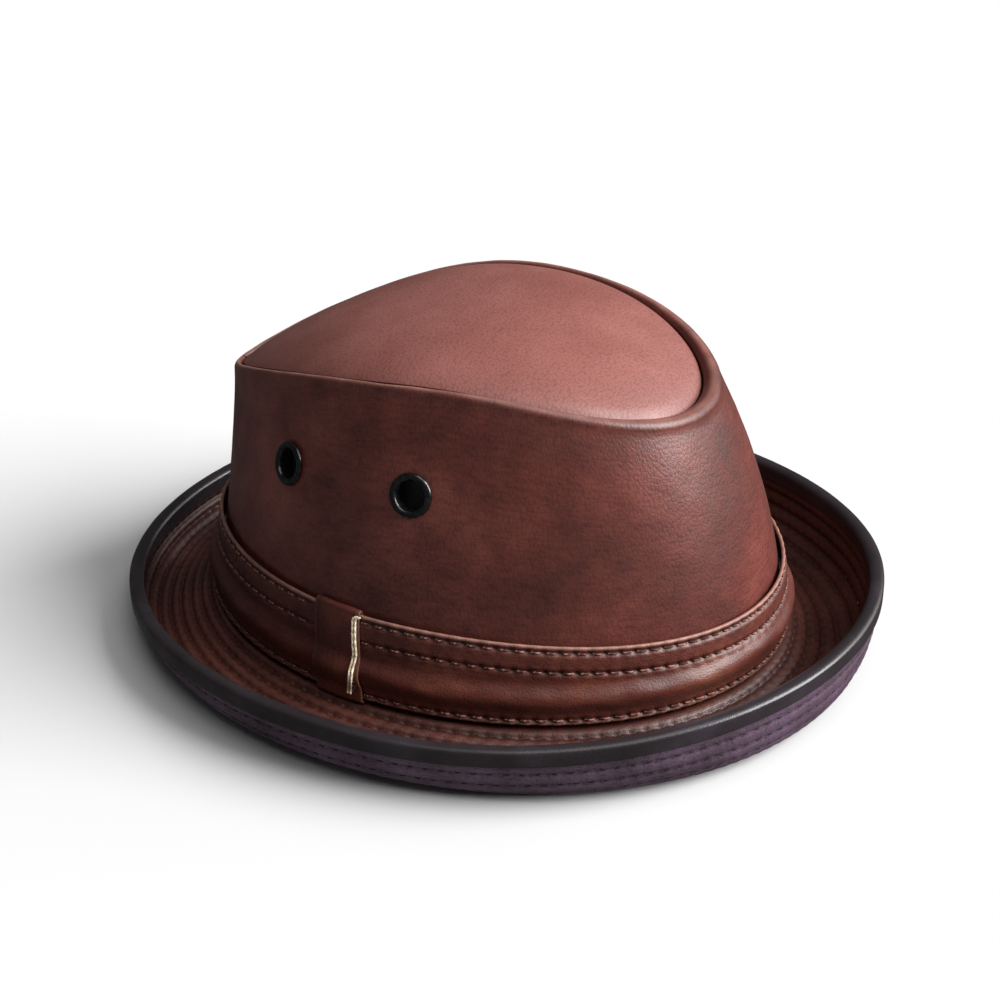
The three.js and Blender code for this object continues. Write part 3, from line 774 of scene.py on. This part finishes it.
def brim_stitches(name, depth, sign, material):
    """Sews the brim's rows on one face: a depth below its top face, and 1 or -1 for the way out."""
    places = []
    for number, (row, stitches) in enumerate(zip(BRIM_ROW_SHARES, BRIM_STITCHES)):
        t = (np.arange(stitches) * FULL_TURN - number * ROW_SHIFT + math.pi) / stitches

        def row_point(t, d):
            points = brim_points(t, np.array([[row - 0.01], [row], [row + 0.01], [row + d / 40]]))
            down = unit(np.cross(row_tangent(row, t), points[2] - points[0]))
            point = points[3] + down * depth
            point[:, 2] = np.maximum(point[:, 2], STITCH_LOWEST)
            return point

        places += row_places(row_point, t, sign)
    return sew(name, one_stitch(3.0, 0.3), places, material, "sewing_thread")


dark_thread = thread("bonded thread, dark brown", ("#1c0d0a", "#2e1712", "#48281f"))
brim_stitches("brim_top_stitching", 0.42, -1.0, dark_thread)

# ------------------------------------------------------------------ brim underside
# The under leather, dyed plum, sewn by the same rows; where it turns flat the hat stands on it.

UNDER_DEPTH, UNDER_THICKNESS = 2.2, 0.9
UNDER_FACE = UNDER_DEPTH + UNDER_THICKNESS
shares = np.linspace(0.0, 1.0, BRIM_GRID_ROWS)[:, None] + 0 * t
height, painted_shade_amount = quilting(t, shares, brim_width)
relief = np.concatenate([flat_inner, 0.8 * height - 0.6])
# Painted shade along the underside's sewn rows.
painted_shade_amount = np.concatenate([flat_inner, painted_shade_amount * 0.8])
under_leather = leather(
    "cowhide, brim underside, plum", ("#3e2c3b", "#554050", "#6c5570"), "#6a5468",
    grain_mm=0.9, creases=0.3, gloss=0.5,
)
under_rows = shell(brim_grid, UNDER_FACE + relief, UNDER_DEPTH, rear_step=BRIM_REAR_STEP, lowest=0.0)
brim_under = sheet("brim_under_leather", under_rows, {"painted_shade": painted_shade_amount})
fit(brim_under, under_leather, "underside_leather", "brim_under")
plum_thread = thread("bonded thread, plum", ("#1a1118", "#261a23", "#352733"))
brim_stitches("brim_under_stitching", UNDER_FACE - 0.8, 1.0, plum_thread)

# ------------------------------------------------------------------ brim binding
# A strip of smooth, near-black leather folded over the rim, 4.4 mm deep each side. Its sewing is hidden.

BINDING_LEG, BINDING_GAP, BINDING_THICKNESS = 4.4, 0.3, 0.9
leg = BINDING_LEG / brim_width
leg_rows = brim_points(t, 1 - leg * np.linspace(1, 0, 12)[:, None])
leg_down = grid_normals(leg_rows)
rim, rim_down = leg_rows[-1], leg_down[-1]
climb = unit(leg_rows[-1] - leg_rows[-2])


def folded(gap):
    """A face of the folded strip: up the leg, round the rim and down the other leg."""
    middle = UNDER_FACE / 2
    half = middle + gap
    rows = [*(leg_rows - leg_down * gap)]
    for k in np.radians(np.linspace(12, 168, 15)):
        rows.append(rim + rim_down * (middle - half * math.cos(k)) + climb * (half * 0.62 * math.sin(k)))
    return np.array(rows + [*(leg_rows + leg_down * (UNDER_FACE + gap))[::-1]])


outside = folded(BINDING_GAP + BINDING_THICKNESS)
outside += grid_normals(outside) * (-0.10 * soft_noise(outside, 14.0, 21.0))[..., None]
inside = folded(BINDING_GAP)
binding_leather = leather(
    "smooth calf binding, near black", ("#1f1a1c", "#2a2427", "#363037"), "#4a4448",
    grain_mm=0.7, grain=0.15, creases=0.12, gloss=0.3, coat=0.12,
)
lip_in = [(outside[-1] * (1 - k) + inside[-1] * k) for k in (0.25, 0.5, 0.75)]
lip_out = [(inside[0] * (1 - k) + outside[0] * k) for k in (0.25, 0.5, 0.75)]
for lip, row in ((lip_in, -1), (lip_out, 0)):
    way = unit(outside[row] - outside[row - 1 if row else 1])
    for k, bulge in enumerate((0.3, 0.42, 0.3)):
        lip[k] = lip[k] + way * bulge
binding_rows = np.array([*outside, *lip_in, *inside[::-1], *lip_out, outside[0]])
fit(sheet("brim_binding_leather", binding_rows), binding_leather, "binding_leather", "brim_binding")

# ------------------------------------------------------------------ lining
# A black-brown satin lining, a gathered wall and a teardrop tip, held inside the crown.

LINING_OUT, LINING_THICKNESS, LINING_TOP_GAP = 5.0, 0.45, 1.5
LINING_ROWS = 40


def satin():
    """Acetate satin: long floats that catch the light along the weave, drawn 2.7 mm apart to show."""
    material, surface = new_material("acetate satin lining")
    place = add_node(material, "TexCoord", {})
    weave = add_node(
        material, "TexWave",
        {"Vector": place.outputs["UV"], "Scale": 1 / (6.0 * MM), "Distortion": 0.6, "Detail": 2.0},
        bands_direction="DIAGONAL",
    ).outputs["Fac"]
    shade = add_node(
        material, "TexNoise", {"Vector": place.outputs["Object"], "Scale": 60.0, "Detail": 3.0}
    ).outputs["Fac"]
    tone = add_node(
        material, "ValToRGB", {"Fac": shade}, stops=[(0.35, "#150f11"), (0.65, "#241a1d")]
    ).outputs["Color"]
    material.node_tree.links.new(tone, surface.inputs["Base Color"])
    bump = add_node(material, "Bump", {"Strength": 0.15, "Distance": 0.05 * MM, "Height": weave})
    material.node_tree.links.new(bump.outputs["Normal"], surface.inputs["Normal"])
    surface.inputs["Roughness"].default_value = 0.38
    surface.inputs["Anisotropic"].default_value = 0.5
    surface.inputs["Sheen Weight"].default_value = 0.2
    return material


lining_satin = satin()
t = turn(columns=480)
lining_top = roll_point(t, 1.0, -SHOULDER_DROP)[:, 2] - LINING_TOP_GAP
lining_heights = [HEAD_Z + (lining_top - HEAD_Z) * v for v in np.linspace(0, 1, LINING_ROWS)]
lining_grid = np.array([wall_point(t, height) for height in lining_heights])
gathers = 0.30 * soft_noise(lining_grid * np.array([1.0, 1.0, 0.25]), 7.0, 31.0)
gathers *= np.linspace(0.3, 1, LINING_ROWS)[:, None]
lining_rows = shell(
    lining_grid, -LINING_OUT + gathers, -LINING_OUT - LINING_THICKNESS + gathers,
    rear_step=1, lowest=HEAD_Z,
)
lining_wall = sheet("lining_wall_satin", lining_rows)
fit(lining_wall, lining_satin, "lining_satin", "lining_wall")

lining_edge = lining_grid[-1] - grid_normals(lining_grid)[-1] * (LINING_OUT + LINING_THICKNESS + 0.35)
shares = np.linspace(0, 1, LINING_ROWS)
over = dome_rows(lining_edge, shares, LINING_OUT)
under = dome_rows(lining_edge, shares, LINING_OUT + LINING_THICKNESS)
ripple = 0.35 * soft_noise(over, 16.0, 33.0) * np.sin(math.pi * shares)[:, None]
over[..., 2] += ripple
under[..., 2] += ripple
disc_rows = np.array([*over, *under[::-1]])
lining_tip = sheet("lining_tip_satin", disc_rows, flat_uv=disc_rows[..., :2])
fit(lining_tip, lining_satin, "lining_satin", "lining_tip")

# ------------------------------------------------------------------ sweatband and reed
# A strip of soft brown calf that lies against the head, sewn at its foot to a piped tape, the reed.

SWEATBAND_OUT, SWEATBAND_THICKNESS, SWEATBAND_TOP = 5.9, 0.9, 41.0
REED_DEPTH, REED_Z, REED_RADIUS = 6.8, 7.6, 1.1
SWEATBAND_ROW = 13.5
t = turn()
heights = np.linspace(HEAD_Z + 0.45, SWEATBAND_TOP - 0.45, 44)
sweat_grid = np.array([wall_point(t, z + 0 * t) for z in heights])[::-1]
z = heights[::-1, None] + 0 * t
phase = BAND_STITCHES * t
relief = sewn_relief(z - SWEATBAND_ROW, phase) * 0.7 + 0.12 * soft_noise(sweat_grid, 14.0, 41.0)
inner_face = SWEATBAND_OUT + SWEATBAND_THICKNESS + relief
sweat_leather = leather(
    "soft calf sweatband, brown", ("#33231d", "#46322a", "#594338"), "#7c6152",
    grain_mm=0.7, grain=0.3, creases=0.2, gloss=0.52,
)
sweat_rows = shell(sweat_grid, inner_face, SWEATBAND_OUT, lowest=HEAD_Z)
# The sweatband's sewn row gets painted shade in its groove and needle holes.
sweatband = sheet("sweatband_leather", sweat_rows, {"painted_shade": sewn_painted_shade(z - SWEATBAND_ROW, phase) * 0.7})
fit(sweatband, sweat_leather, "sweatband_leather", "sweatband")


def sweat_row_point(t, d):
    return outside_wall(t, SWEATBAND_ROW + d + 0 * t, -(SWEATBAND_OUT + SWEATBAND_THICKNESS - 0.05))


stitch_angles = (np.arange(BAND_STITCHES) + 0.5) * FULL_TURN / BAND_STITCHES
places = row_places(sweat_row_point, stitch_angles, -1.0)
sew("sweatband_stitching", one_stitch(3.8, 0.3), places, brown_thread, "sewing_thread")

ring_t = turn(columns=480)
ring = []
for a in np.linspace(0, FULL_TURN, 17):
    outwards = REED_RADIUS * math.sin(a) - REED_DEPTH
    ring.append(head_point(ring_t, outwards, REED_Z - REED_RADIUS * math.cos(a)))
fit(sheet("sweatband_reed_piping", np.array(ring)), sweat_leather, "sweatband_leather", "sweatband_reed")

# ------------------------------------------------------------------ stiffening
# Woven, sized canvas behind the tip, the wall, the brim and the band's puff; it is sewn in and hidden.


def canvas():
    """Plain-woven sized cotton: threads drawn at a 1.6 mm pitch to show, dull and off-white."""
    material, surface = new_material("sized cotton canvas")
    place = add_node(material, "TexCoord", {})
    threads = []
    for way in ("X", "Z"):
        threads.append(add_node(
            material, "TexWave",
            {"Vector": place.outputs["Object"], "Scale": 1 / (5.0 * MM), "Distortion": 0.4},
            bands_direction=way,
        ).outputs["Fac"])
    weave = add_node(material, "Math", {0: threads[0], 1: threads[1]}, operation="MULTIPLY").outputs[0]
    tone = add_node(
        material, "ValToRGB", {"Fac": weave}, stops=[(0.1, "#a89c86"), (0.6, "#cfc5b2")]
    ).outputs["Color"]
    material.node_tree.links.new(tone, surface.inputs["Base Color"])
    bump = add_node(material, "Bump", {"Strength": 0.6, "Distance": 0.2 * MM, "Height": weave})
    material.node_tree.links.new(bump.outputs["Normal"], surface.inputs["Normal"])
    surface.inputs["Roughness"].default_value = 0.9
    return material


sized_canvas = canvas()
for node in ("tip_interlining", "wall_interlining", "brim_stiffener", "hatband_filler"):
    layer = bpy.data.objects[node]
    layer.data.materials.clear()
    layer.data.materials.append(sized_canvas)

# ------------------------------------------------------------------ studio
# A pale matt floor, kept out of mirror reflections, and three far softboxes: a strong key behind the
# hat, a weak low lamp behind its right side, and a weak high one. The world adds a faint fill.

bpy.ops.mesh.primitive_plane_add(size=12, location=(0, 0, -0.0003))
floor = bpy.context.object
floor.name = "studio_floor"
paper, paper_surface = new_material("matt paper floor")
paper_surface.inputs["Base Color"].default_value = colour("#cdcdcd")
paper_surface.inputs["Roughness"].default_value = 0.9
floor.data.materials.append(paper)
floor.visible_glossy = False

CAMERA_AZIMUTH, CAMERA_ELEVATION = math.radians(114), math.radians(29.54)
CAMERA_DISTANCE, CAMERA_LENS = 0.927, 90.18
aim = Vector((0, -0.00048, 0.04785))
back_way = Vector((
    math.sin(CAMERA_AZIMUTH) * math.cos(CAMERA_ELEVATION),
    -math.cos(CAMERA_AZIMUTH) * math.cos(CAMERA_ELEVATION),
    math.sin(CAMERA_ELEVATION),
))
bpy.ops.object.camera_add(location=aim + back_way * CAMERA_DISTANCE)
camera = bpy.context.object
camera.rotation_euler = back_way.to_track_quat("Z", "Y").to_euler()
camera.data.lens = CAMERA_LENS
camera.data.clip_end = 50
bpy.context.scene.camera = camera


def lamp(name, azimuth, elevation, spread, power):
    """A large, far softbox in a direction, in degrees; azimuth 0 is the front, 90 the left side."""
    a, e = math.radians(azimuth), math.radians(elevation)
    way = Vector((math.sin(a) * math.cos(e), -math.cos(a) * math.cos(e), math.sin(e)))
    bpy.ops.object.light_add(type="SUN", location=way * 2)
    light = bpy.context.object
    light.name = name
    light.rotation_euler = way.to_track_quat("Z", "Y").to_euler()
    light.data.angle = math.radians(spread)
    light.data.energy = power


lamp("key", 195, 34, 44, 6.6)
lamp("edge", 232, 20, 40, 0.9)
lamp("top", 150, 72, 50, 1.1)
world = bpy.data.worlds.new("studio")
world.use_nodes = True
world.node_tree.nodes["Background"].inputs["Strength"].default_value = 0.06
world.node_tree.nodes["Background"].inputs["Color"].default_value = colour("#ffffff")
bpy.context.scene.world = world
bpy.context.scene.view_settings.view_transform = "Standard"
